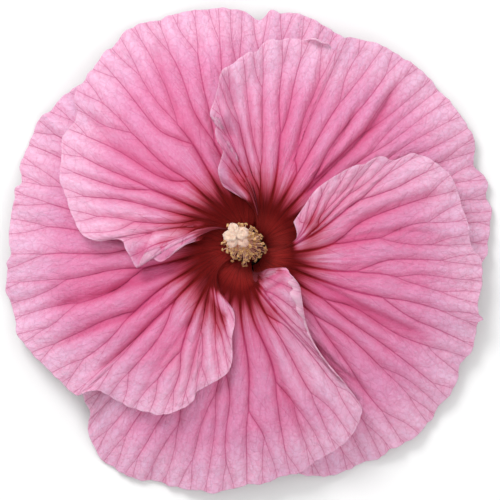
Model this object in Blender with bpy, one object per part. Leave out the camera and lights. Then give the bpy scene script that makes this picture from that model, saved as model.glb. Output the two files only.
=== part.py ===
"""A hibiscus flower, picked just under its calyx and lying face up on a flat surface.

The flower's axis is Z, and the surface that it lies on is z = 0. Five broad petals overlap
like a pinwheel: each has its anticlockwise side over the next petal and its clockwise side
under the one before. They share one dish, a steep red throat that opens into a limb whose
rim droops to the surface. The stamen column, with the pistil inside it, stands in the throat
and leans a little. Behind the petals are the calyx, the ring of narrow bractlets under it,
and the cut flower stalk. Lengths are written in millimetres and turned to metres by MM.
"""

import math

import bmesh
import bpy
from mathutils import Matrix, Quaternion, Vector

MM = 0.001
PETAL_COUNT = 5
PETAL_PITCH = 360 / PETAL_COUNT
PIECE_GAP = 0.35  # between pieces that touch in the real flower

# The dish that all the petals follow.
FLOWER_RADIUS = 100.0
CLAW_RADIUS = 5.5
CLAW_HEIGHT = 9.0
THROAT_DEPTH = 26.0
THROAT_OPENING = 6.0  # the radius over which the throat turns into the limb
RIM_DROOP = 28.6
THROAT_TURN_RADIUS = 13.5  # where the veins leave the throat and fan out
THROAT_TURN_WEIGHT = 1.5
PETAL_THICKNESS = 0.7
THROAT_STACK = 1.6  # from one petal to the petal it covers, in the throat
RIM_STACK = 5.2  # the same at the rim
STACK_START = 14.0
STACK_LENGTH = 62.0
RUFFLE = 1.1
RUFFLE_START = 45.0
RUFFLE_LENGTH = 50.0
RUFFLE_WAVES = ((34, 1.0), (61, 0.6))  # turns of the phase across a petal, and their sizes
NECK_START = 0.78  # the share across at which a petal's neck begins to differ
NECK_LENGTH = 0.14
PETAL_ACROSS = 40
PETAL_ALONG = 10

# The stamen column and the pistil.
COLUMN_BASE = 8.3
COLUMN_TOP = 41.0
COLUMN_LEAN = (-5.2, 4.6)  # how far the tip stands off the axis
COLUMN_RADIUS = 1.75
COLUMN_WALL = 0.6
COLUMN_SIDES = 14
STYLE_RADIUS = 0.7
STYLE_TOP = 43.6
OVARY_RADIUS = 2.3
STAMEN_COUNT = 28
LOWEST_STAMEN = 20.0
HIGHEST_STAMEN = 39.6
GOLDEN_ANGLE = 137.5

# The green parts behind the petals.
CALYX_WALL = 0.9
CALYX_SIDES = 50
CALYX_ROWS = 9
BRACTLET_COUNT = 12
BRACTLET_WIDTH = 2.0
BRACTLET_THICKNESS = 0.6
STALK_RADIUS = 2.2
STALK_CUT = 0.6

PINK = (0.86, 0.32, 0.52)
PALE_CREAM = (0.90, 0.76, 0.62)
POLLEN = (0.80, 0.62, 0.30)
DEEP_RED = (0.38, 0.02, 0.04)
GREEN = (0.22, 0.36, 0.10)


class Petal:
    """One petal: its bearing, the bearings of its claw's two edges from that, and its margin.

    The margin runs anticlockwise as seen from above, from the claw's clockwise edge to its
    anticlockwise one, as points (x, y) in millimetres from the flower's axis. The stretch that
    lies under the petal before it comes first. neck is the radius at which the petal's
    anticlockwise side leaves the throat.
    """

    def __init__(self, name, bearing, claw, margin, phase, neck):
        self.name = name
        self.bearing = bearing
        self.claw = claw
        self.margin = margin
        self.phase = phase
        self.neck = neck


PETALS = (
    Petal("petal_upper_left", 127, (-58, 10), (
        (4.6, 14.3), (11, 24), (20, 33), (31, 46), (40, 61), (45, 75), (43, 84.5), (37.5, 90.5),
        (29, 96), (20.6, 99), (13.3, 99), (8.7, 100.3), (5.5, 96.4), (2.4, 96.4), (-3, 99),
        (-12, 99.2), (-22, 99.3), (-31.5, 98.2), (-40.8, 95.2), (-51.3, 89.7), (-57, 83.5),
        (-62, 77.5), (-69, 67), (-71.5, 60), (-71.5, 54), (-76.5, 46), (-76.5, 38), (-75.5, 28),
        (-72, 18.5), (-69, 11), (-66, 6), (-60, 3.3), (-51, 3.8), (-47.5, -2), (-44, -7.5),
        (-41, -1.5), (-35, -5), (-28.5, 0.5), (-24, 2.6), (-20.2, 3.6)), 0.0, 19),
    Petal("petal_left", 199, (-68, 6), (
        (-9.8, 11.3), (-15.5, 16.5), (-22, 23), (-29, 34), (-36, 46), (-43, 58), (-52, 67),
        (-64, 71.5), (-72.5, 69), (-79.5, 63.4), (-83.2, 58.2), (-89, 53.8), (-93, 46.2),
        (-96, 38.8), (-96.5, 33.5), (-95.5, 27.3), (-97.6, 25.4), (-97.8, 19.3), (-100, 10),
        (-99.2, 3), (-98.5, -2), (-100.5, -6), (-101, -12), (-100.5, -20.5), (-96.2, -33.5),
        (-93, -37.8), (-88, -43.6), (-83.8, -47.2), (-79.8, -51.6), (-74.5, -57), (-69.5, -59),
        (-66, -56.8), (-62.5, -55.8), (-59, -58), (-54.5, -61.2), (-47, -64.2), (-40.5, -65.4),
        (-33.5, -65.6), (-26.5, -62.9), (-22.5, -60), (-21, -56.4), (-14.3, -52.8), (-9, -48.6),
        (-7.1, -43.5), (-7.3, -35.5), (-6.2, -29.3), (-7, -24.5), (-10, -22.4)), 1.3, 21),
    Petal("petal_bottom", 271, (-72, 3), (
        (-14.2, -5), (-18, -9.5), (-24, -15), (-36, -20.5), (-48, -27), (-60, -36), (-67, -45),
        (-71, -55), (-70, -63), (-66.5, -68), (-67.6, -72.5), (-67.6, -77), (-64, -84.6),
        (-60, -89.5), (-50, -94.5), (-39, -97.8), (-26.5, -99.7), (-14, -99), (-4, -98),
        (0, -96.4), (8, -95.5), (14, -92.8), (20, -91.5), (31, -84), (36.5, -79.2),
        (41.3, -73.6), (44, -67.5), (44.4, -63), (38.3, -54.4), (29.6, -44), (24.8, -36.5),
        (21.6, -28.4), (20.3, -20.5), (19.8, -15), (17.4, -11), (15.3, -8.3), (10.2, -11.6),
        (5, -12.8), (2.5, -14.2)), 2.6, 13.5),
    Petal("petal_right", 343, (-64, 20), (
        (4.1, -14.4), (4, -22), (3, -32), (2.5, -44), (3, -58), (5, -72), (9, -84), (15, -91),
        (23.5, -95), (34.5, -95.3), (41.6, -92.8), (49.6, -89.8), (55.3, -86.6), (58, -82.6),
        (63.6, -81), (69, -77), (76, -70.5), (79, -65), (83.5, -59), (86.5, -53.5), (87, -48.5),
        (92, -41), (92.8, -35), (92.7, -30), (94.8, -28.4), (92.3, -26), (92.6, -22),
        (94.8, -16), (95, -10), (94.6, -4), (90.4, 1), (88.8, 5.5), (88.4, 10), (86.6, 15),
        (84.6, 21), (83, 25), (80, 29.4), (76.5, 32.6), (71.6, 35.7), (65, 38.4), (58, 35.7),
        (51.2, 36.8), (45, 33.6), (39, 32), (27, 24.5), (21.6, 17.3), (17.8, 11.3)), 3.9, 22),
    Petal("petal_upper_right", 55, (-54, 19), (
        (15, 0), (20, -4), (28, -8), (40, -13), (54, -17), (68, -18.5), (81, -17), (90, -13),
        (96, -6), (99.5, 0), (100.6, 9), (101.5, 17), (99.6, 22), (98.6, 30), (94, 35),
        (93.8, 41.7), (90.3, 50), (83, 60), (76.5, 69.5), (67, 76.5), (59.5, 81), (49.5, 85),
        (42, 86), (36.8, 84.6), (35.4, 82.6), (33.8, 80.2), (30.4, 81.6), (25.3, 82.6), (20.5, 83.6),
        (15, 84), (10.5, 82.4), (6.6, 82.2), (4.4, 80.5), (2.4, 77.8), (-2, 75.5), (-6, 72.5),
        (-11, 69), (-12.6, 62), (-14.6, 56), (-15.5, 51.5), (-12.4, 50.5), (-13.4, 46),
        (-12.8, 42), (-10.6, 38.5), (-11.4, 35), (-12.6, 31), (-11, 25.6), (-8, 23.5)), 5.2, 18),
)

# Radius and height of the calyx's outside, from its hole for the stalk to a lobe's tip.
CALYX_PROFILE = (
    (3.2, 5.0), (6.2, 5.5), (8.8, 8.0), (10.4, 12.5), (12.0, 17.5), (14.8, 21.3), (19.0, 23.4),
    (24.0, 24.3), (28.5, 24.2),
)
CALYX_SINUS = 0.56  # how far up the profile the notch between two lobes lies
# Radius and height of a bractlet's middle line, from its root to its tip.
BRACTLET_PROFILE = ((3.4, 4.1), (8.0, 4.0), (11.8, 7.4), (14.2, 12.6), (17.6, 18.0), (20.5, 20.6))
# Radius and height of the flower stalk, from its cut end to the seat of the ovary.
STALK_PROFILE = ((STALK_RADIUS, STALK_CUT), (STALK_RADIUS, 3.2), (2.7, 4.6), (2.7, 7.4))
COLUMN_PROFILE = (
    (5.1, COLUMN_BASE), (4.9, 9.3), (3.9, 11.5), (2.9, 14.5), (2.0, 18.0), (COLUMN_RADIUS, 22.0),
    (COLUMN_RADIUS, 34.0), (1.55, COLUMN_TOP),
)
PISTIL_PROFILE = (
    (1.6, 7.8), (OVARY_RADIUS, 9.4), (2.1, 11.4), (1.1, 13.6), (STYLE_RADIUS, 16.0),
    (STYLE_RADIUS, 28.0), (STYLE_RADIUS, 40.0), (1.0, STYLE_TOP),
)


def clear_scene():
    for thing in list(bpy.data.objects):
        bpy.data.objects.remove(thing)


def material(name, colour, roughness):
    made = bpy.data.materials.get(name)
    if made is None:
        made = bpy.data.materials.new(name)
        made.use_nodes = True
        shader = made.node_tree.nodes["Principled BSDF"]
        shader.inputs["Base Color"].default_value = (*colour, 1)
        shader.inputs["Roughness"].default_value = roughness
        shader.inputs["Metallic"].default_value = 0
    return made


def add_object(name, mesh_data, finish):
    """Turns a bmesh in millimetres into a smooth shaded object in metres."""
    bmesh.ops.scale(mesh_data, vec=(MM, MM, MM), verts=mesh_data.verts)
    mesh = bpy.data.meshes.new(name)
    mesh_data.to_mesh(mesh)
    mesh_data.free()
    mesh.shade_smooth()
    mesh.materials.append(finish)
    made = bpy.data.objects.new(name, mesh)
    bpy.context.collection.objects.link(made)
    return made


def spline(points, share):
    """A point at a share from 0 to 1 of the way along a smooth curve through points."""
    last = len(points) - 1
    place = min(max(share, 0.0), 1.0) * last
    index = min(int(place), last - 1)
    t = place - index
    before, start, end, after = (
        Vector(points[min(max(index + step, 0), last)]) for step in (-1, 0, 1, 2)
    )
    return start + 0.5 * t * (
        (end - before) + t * ((2 * before - 5 * start + 4 * end - after)
                              + t * (3 * (start - end) + after - before))
    )


def even_points(points, count):
    """count + 1 points at even distances along the smooth curve through points."""
    fine = [spline(points, i / (20 * len(points))) for i in range(20 * len(points) + 1)]
    lengths = [0.0]
    for a, b in zip(fine, fine[1:]):
        lengths.append(lengths[-1] + (b - a).length)
    found, index = [], 0
    for i in range(count + 1):
        wanted = lengths[-1] * i / count
        while index < len(fine) - 2 and lengths[index + 1] < wanted:
            index += 1
        step = (wanted - lengths[index]) / (lengths[index + 1] - lengths[index])
        found.append(fine[index].lerp(fine[index + 1], step))
    return found


def smoothstep(value):
    value = min(max(value, 0.0), 1.0)
    return value * value * (3 - 2 * value)


def polar(radius, bearing):
    angle = math.radians(bearing)
    return Vector((radius * math.cos(angle), radius * math.sin(angle)))


def dish_height(radius):
    throat = THROAT_DEPTH * (1 - math.exp((CLAW_RADIUS - radius) / THROAT_OPENING))
    return CLAW_HEIGHT + throat - RIM_DROOP * (radius / FLOWER_RADIUS) ** 2


def dish_slope(radius):
    throat = THROAT_DEPTH / THROAT_OPENING * math.exp((CLAW_RADIUS - radius) / THROAT_OPENING)
    return throat - 2 * RIM_DROOP * radius / FLOWER_RADIUS**2


def stack_step(radius):
    """How far one petal lies over the next at this radius."""
    share = smoothstep((radius - STACK_START) / STACK_LENGTH)
    return THROAT_STACK + (RIM_STACK - THROAT_STACK) * share


def petal_point(petal, rim, across, along):
    """A point of a petal's middle surface. rim is the margin point at the share across."""
    cw_edge, ccw_edge = petal.claw
    bearing = petal.bearing + cw_edge + across * (ccw_edge - cw_edge)
    root = polar(CLAW_RADIUS, bearing)
    to_neck = smoothstep((across - NECK_START) / NECK_LENGTH)
    turn = polar(THROAT_TURN_RADIUS + to_neck * (petal.neck - THROAT_TURN_RADIUS), bearing)
    # A conic from the root to the rim, pulled towards the turn at the top of the throat.
    shares = ((1 - along) ** 2, 2 * THROAT_TURN_WEIGHT * along * (1 - along), along**2)
    flat = (shares[0] * root + shares[1] * turn + shares[2] * rim) / sum(shares)
    radius = flat.length
    outward = flat / radius
    off_middle = math.degrees(math.atan2(flat.y, flat.x)) - petal.bearing
    off_middle = (off_middle + 180) % 360 - 180
    lift = stack_step(radius) * off_middle / PETAL_PITCH
    wave = sum(size * math.sin(turns * across + order * petal.phase)
               for order, (turns, size) in enumerate(RUFFLE_WAVES, 1))
    lift += RUFFLE * wave * smoothstep((radius - RUFFLE_START) / RUFFLE_LENGTH) * along**3
    slope = dish_slope(radius)
    normal = Vector((-slope * outward.x, -slope * outward.y, 1)).normalized()
    return Vector((flat.x, flat.y, dish_height(radius))) + lift * normal


def make_petal(petal):
    sheet = bmesh.new()
    bmesh.ops.create_grid(
        sheet, x_segments=PETAL_ACROSS, y_segments=PETAL_ALONG, size=0.5)
    rims = even_points(petal.margin, PETAL_ACROSS)
    for vertex in sheet.verts:
        across = vertex.co.x + 0.5
        along = (vertex.co.y + 0.5) ** 0.85
        vertex.co = petal_point(petal, rims[round(across * PETAL_ACROSS)], across, along)
    bmesh.ops.reverse_faces(sheet, faces=sheet.faces)
    made = add_object(petal.name, sheet, material("petal", PINK, 0.6))
    thick = made.modifiers.new("Thickness", "SOLIDIFY")
    thick.thickness = PETAL_THICKNESS * MM
    thick.offset = 0


def turned(profile, sides, close_top=True, close_bottom=True):
    """A bmesh of revolution about Z, from (radius, height) points that run upwards."""
    solid = bmesh.new()
    points = [solid.verts.new((radius, 0, height)) for radius, height in profile]
    edges = [solid.edges.new(pair) for pair in zip(points, points[1:])]
    bmesh.ops.spin(solid, geom=points + edges, cent=(0, 0, 0), axis=(0, 0, 1),
                   angle=math.tau, steps=sides, use_merge=True)
    rims = [edge for edge in solid.edges if edge.is_boundary]
    heights = (profile[0][1], profile[-1][1])
    for height, wanted in zip(heights, (close_bottom, close_top)):
        ring = [e for e in rims if all(abs(v.co.z - height) < 1e-4 for v in e.verts)]
        if wanted and ring:
            bmesh.ops.holes_fill(solid, edges=ring, sides=sides)
    bmesh.ops.recalc_face_normals(solid, faces=solid.faces)
    return solid


def lean(height):
    """How far the column's middle line stands off the axis at this height."""
    share = max(0.0, (height - COLUMN_BASE) / (COLUMN_TOP - COLUMN_BASE)) ** 1.3
    return Vector((COLUMN_LEAN[0] * share, COLUMN_LEAN[1] * share, 0))


def lean_over(solid):
    for vertex in solid.verts:
        vertex.co += lean(vertex.co.z)


def make_column():
    """The tube that the stamens grow from. It flares at its foot to cover the ovary."""
    inner = [(radius - COLUMN_WALL, height) for radius, height in reversed(COLUMN_PROFILE)]
    tube = turned((*COLUMN_PROFILE, *inner, COLUMN_PROFILE[0]), COLUMN_SIDES, False, False)
    bmesh.ops.remove_doubles(tube, verts=tube.verts, dist=1e-4)
    bmesh.ops.recalc_face_normals(tube, faces=tube.faces)
    lean_over(tube)
    add_object("stamen_column", tube, material("column", DEEP_RED, 0.5))


def make_pistil():
    """The ovary and the style that runs up inside the column."""
    pistil = turned(PISTIL_PROFILE, COLUMN_SIDES)
    lean_over(pistil)
    add_object("pistil", pistil, material("style", PALE_CREAM, 0.5))


def make_bud(name, foot, direction, profile, sides, finish, flatten=1.0):
    """A stalk with a head, turned about its own line. profile is (radius, distance) pairs."""
    bud = turned(profile, sides)
    bmesh.ops.scale(bud, vec=(1, flatten, 1), verts=bud.verts)
    aim = direction.to_track_quat("Z", "Y")
    bmesh.ops.transform(
        bud, matrix=Matrix.Translation(foot) @ aim.to_matrix().to_4x4(), verts=bud.verts)
    add_object(name, bud, finish)


def make_stamens():
    """Filaments with their anthers, spiralling up the column and shorter towards its tip."""
    finish = material("anther", POLLEN, 0.8)
    for number in range(STAMEN_COUNT):
        share = number / (STAMEN_COUNT - 1)
        height = LOWEST_STAMEN + share * (HIGHEST_STAMEN - LOWEST_STAMEN)
        outward = polar(1, number * GOLDEN_ANGLE).to_3d()
        length = 6.2 - 2.4 * share
        direction = (outward + Vector((0, 0, 0.55 + 0.35 * share))).normalized()
        foot = lean(height) + outward * (COLUMN_RADIUS + PIECE_GAP + 0.2)
        foot.z = height
        profile = (
            (0.28, 0), (0.22, length - 1.7), (0.8, length - 1.2), (0.85, length - 0.5),
            (0.4, length),
        )
        make_bud(f"stamen_{number + 1:02d}", foot, direction, profile, 6, finish, 0.75)


def make_stigmas():
    """The five velvety pads that stand round the tip of the style."""
    finish = material("stigma", PALE_CREAM, 0.7)
    tip = lean(STYLE_TOP) + Vector((0, 0, STYLE_TOP))
    for number in range(PETAL_COUNT):
        outward = polar(1, 18 + number * PETAL_PITCH).to_3d()
        direction = (outward + Vector((0, 0, 0.42))).normalized()
        foot = tip + outward * 1.5 + Vector((0, 0, -0.4))
        profile = (
            (0.35, 0), (0.4, 0.5), (1.2, 0.9), (1.85, 1.9), (1.85, 2.7), (1.2, 3.6), (0.5, 3.9),
        )
        make_bud(f"stigma_{number + 1}", foot, direction, profile, 10, finish, 0.8)


def make_calyx():
    """A cup of five fused sepals, whose pointed lobes spread under the petals."""
    ladder = [(1, row / CALYX_ROWS) for row in range(CALYX_ROWS + 1)]
    cup = turned(ladder, CALYX_SIDES, False, False)
    for vertex in cup.verts:
        bearing = math.degrees(math.atan2(vertex.co.y, vertex.co.x))
        off_lobe = abs((bearing - 19 + 36) % PETAL_PITCH - 36) / 36
        reach = CALYX_SINUS + (1 - CALYX_SINUS) * (1 - off_lobe) ** 0.85
        radius, height = spline(CALYX_PROFILE, vertex.co.z * reach)
        vertex.co = (*polar(radius, bearing), height)
    made = add_object("calyx", cup, material("sepal", GREEN, 0.7))
    thick = made.modifiers.new("Thickness", "SOLIDIFY")
    thick.thickness = CALYX_WALL * MM
    thick.offset = 1 if made.data.polygons[0].normal.z > 0 else -1


def make_bractlets():
    """Narrow green leaves that curve up round the calyx, each flat and pointed."""
    finish = material("bractlet", GREEN, 0.7)
    for number in range(BRACTLET_COUNT):
        strip = bmesh.new()
        bmesh.ops.create_grid(strip, x_segments=2, y_segments=7, size=0.5)
        turn = Quaternion((0, 0, 1), math.tau * (number + 0.5) / BRACTLET_COUNT)
        for vertex in strip.verts:
            share = vertex.co.y + 0.5
            radius, height = spline(BRACTLET_PROFILE, share)
            width = BRACTLET_WIDTH * (1 - share**3) * min(1, 0.6 + 2 * share) + 0.3
            side = 2 * vertex.co.x
            cupped = 0.25 * width * side * side
            vertex.co = turn @ Vector((radius, 0.5 * width * side, height + 0.3 * cupped))
        made = add_object(f"bractlet_{number + 1:02d}", strip, finish)
        thick = made.modifiers.new("Thickness", "SOLIDIFY")
        thick.thickness = BRACTLET_THICKNESS * MM
        thick.offset = 0


def make_stalk():
    stalk = turned(STALK_PROFILE, COLUMN_SIDES)
    add_object("flower_stalk", stalk, material("stalk", GREEN, 0.7))


def rest_on_surface():
    """Centres the flower's box over the origin and sets its lowest petal on z = 0."""
    graph = bpy.context.evaluated_depsgraph_get()
    corners = []
    for thing in bpy.data.objects:
        shaped = thing.evaluated_get(graph).to_mesh()
        corners += [vertex.co.copy() for vertex in shaped.vertices]
    low, high = (Vector(pick(corner[axis] for corner in corners) for axis in range(3))
                 for pick in (min, max))
    middle = (low + high) / 2
    shift = Matrix.Translation((-middle.x, -middle.y, -low.z))
    for thing in bpy.data.objects:
        thing.data.transform(shift)


def main():
    clear_scene()
    for petal in PETALS:
        make_petal(petal)
    make_column()
    make_pistil()
    make_stamens()
    make_stigmas()
    make_calyx()
    make_bractlets()
    make_stalk()
    rest_on_surface()


main()
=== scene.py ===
"""A rose mallow hibiscus bloom lying face up, built around its measured frame."""

import math
import random
from typing import NamedTuple

import bmesh
import bpy
import numpy as np
from bpy.props import FloatProperty, FloatVectorProperty, IntProperty, PointerProperty
from mathutils import Matrix, Quaternion, Vector, noise


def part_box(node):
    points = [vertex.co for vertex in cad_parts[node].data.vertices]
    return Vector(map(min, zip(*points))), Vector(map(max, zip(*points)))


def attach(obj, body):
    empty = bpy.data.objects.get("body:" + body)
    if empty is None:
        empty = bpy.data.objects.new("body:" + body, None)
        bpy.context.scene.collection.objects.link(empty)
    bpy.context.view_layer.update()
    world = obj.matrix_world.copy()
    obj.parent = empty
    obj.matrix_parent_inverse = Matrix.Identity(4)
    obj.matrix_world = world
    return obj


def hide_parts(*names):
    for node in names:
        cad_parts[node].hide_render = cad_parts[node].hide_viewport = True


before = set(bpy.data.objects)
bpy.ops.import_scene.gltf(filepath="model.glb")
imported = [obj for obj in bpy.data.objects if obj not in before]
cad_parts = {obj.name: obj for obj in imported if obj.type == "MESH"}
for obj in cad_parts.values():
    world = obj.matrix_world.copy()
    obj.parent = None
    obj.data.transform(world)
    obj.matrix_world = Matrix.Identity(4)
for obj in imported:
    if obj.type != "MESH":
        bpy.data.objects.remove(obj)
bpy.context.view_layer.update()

bl_info = {
    "name": "Hibiscus Flower",
    "version": (1, 0, 0),
    "blender": (4, 5, 0),
    "location": "View3D > Sidebar > Hibiscus",
    "description": "Builds a rose mallow bloom: petals, stamens, stigmas, calyx and stalk",
    "category": "Add Mesh",
}

MM = 0.001
PETAL_COUNT = 5
PETAL_PITCH = 360 / PETAL_COUNT
GOLDEN_ANGLE = 137.5

# The flower's axis. Its shapes are worked out from it in millimetres, and moved here at the end.
STALK_CUT = 0.6
STALK_LOW, STALK_HIGH = (Vector(corner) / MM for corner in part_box("flower_stalk"))
AXIS = Vector((
    (STALK_LOW.x + STALK_HIGH.x) / 2, (STALK_LOW.y + STALK_HIGH.y) / 2, STALK_LOW.z - STALK_CUT))

# The dish that all the petals follow.
FLOWER_RADIUS = 100.0
CLAW_RADIUS = 5.5
CLAW_HEIGHT = 9.0
THROAT_DEPTH = 26.0
THROAT_OPENING = 6.0
RIM_DROOP = 28.6
THROAT_TURN_RADIUS = 13.5
THROAT_TURN_WEIGHT = 1.5
THROAT_STACK = 1.6
RIM_STACK = 5.2
STACK_START = 14.0
STACK_LENGTH = 62.0

# Veins: main ones, their forks, the forks of those, and twigs. Sizes are in millimetres.
VEIN_WIDTHS = (0.85, 0.58, 0.42, 0.25)
VEIN_STRENGTHS = (1.0, 0.85, 0.68, 0.36)
TWIG_ORDER = 3
VEIN_SLOTS = 4
VEIN_REACH = 1.8
VEIN_OVERRUN = 0.35
VEIN_SIGHT = 5.0
TWIG_SIGHT = 1.5
EDGE_SIGHT = 28.0
# A crease this deep, in millimetres, gets the full painted shade.
FULL_SHADE_DEPTH = 2.4
# Waves are counted for this much of a turn across a petal.
WAVE_TURN = 6.3

# The stamen column and what stands on it.
COLUMN_BASE = 8.3
COLUMN_TOP = 41.0
COLUMN_LEAN = Vector((-5.2, 4.6, 0))
COLUMN_PROFILE = (
    (5.1, COLUMN_BASE), (4.9, 9.3), (3.9, 11.5), (2.9, 14.5), (2.0, 18.0), (1.75, 22.0), (1.75, 34.0),
    (1.55, COLUMN_TOP),
)
COLUMN_WALL = 0.6
STAMEN_LOW = 19.5
STAMEN_RUN = 20.6
FILAMENT_FOOT = 1.6
FILAMENT_LENGTH = 7.0
FILAMENT_SHORTER = 2.0
FILAMENT_RADII = (0.26, 0.2, 0.17, 0.15, 0.13)
# Mallow pollen is coarse enough to see.
POLLEN_RADIUS = 0.11
STYLE_TOP = 43.6
STIGMA_BEARING = 30
STIGMA_HALVES = Vector((2.75, 2.3, 1.4))
BRANCH_RADII = (0.6, 0.8, 1.0, 1.1, 1.0)
PISTIL_PROFILE = (
    (0.3, 7.6), (1.6, 7.8), (2.3, 9.4), (2.1, 11.4), (1.1, 13.6), (0.7, 16.0), (0.7, 28.0),
    (0.7, 40.0), (1.0, 42.6), (0.9, STYLE_TOP), (0.2, STYLE_TOP + 0.2),
)

CALYX_PROFILE = (
    (3.2, 5.0), (6.2, 5.5), (8.8, 8.0), (10.4, 12.5), (12.0, 17.5), (14.8, 21.3), (19.0, 23.4),
    (24.0, 24.3), (28.5, 24.2),
)
CALYX_SINUS = 0.56
CALYX_BEARING = 19
CALYX_WALL = 0.8
HALF_LOBE = PETAL_PITCH / 2
BRACTLET_COUNT = 12
BRACTLET_WALL = 0.5
BRACTLET_PROFILE = ((3.4, 4.1), (8.0, 4.0), (11.8, 7.4), (14.2, 12.6), (17.6, 18.0), (20.5, 20.6))
STALK_PROFILE = ((2.2, STALK_CUT), (2.2, 3.2), (2.7, 4.6), (2.7, 7.4))


class Petal(NamedTuple):
    """One petal: where it stands, its margin in millimetres and what is its own about it.

    bearing is the petal's middle in degrees, claw is where its foot starts and ends from there,
    and phase shifts its waves. The margin runs anticlockwise as seen from above, from the claw's
    clockwise edge to its anticlockwise one. creases are (points, depth, width) valleys, steep on
    the left and gentle on the right of their points' run. lifts are (x, y, radius, height)
    swellings. curls are (from, to, radius, turn) on the margin's share, where the edge rolls
    over upwards. lips are (from, to, width, height) on the margin's share, where a strip along
    the edge stands up. pale_edge is how far the red of the eye stays off the margin, and
    pale_from is the radius from which it does. eye_shift makes the petal's part of the eye that
    much smaller. neck is how far its anticlockwise side runs straight out from the claw.
    pale_spots are (x, y, radius) places that the eye's red stays off, and the shaded flaps are such
    places where the petal stands up and is painted mauve, a painted shade for its side turned from the
    light.
    """

    name: str
    bearing: float
    claw: tuple
    phase: float
    margin: tuple
    creases: tuple
    pale_edge: float
    pale_from: float
    eye_shift: float
    lifts: tuple = ()
    curls: tuple = ()
    lips: tuple = ()
    neck: float = THROAT_TURN_RADIUS
    pale_spots: tuple = ()
    flaps: tuple = ()


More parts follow.
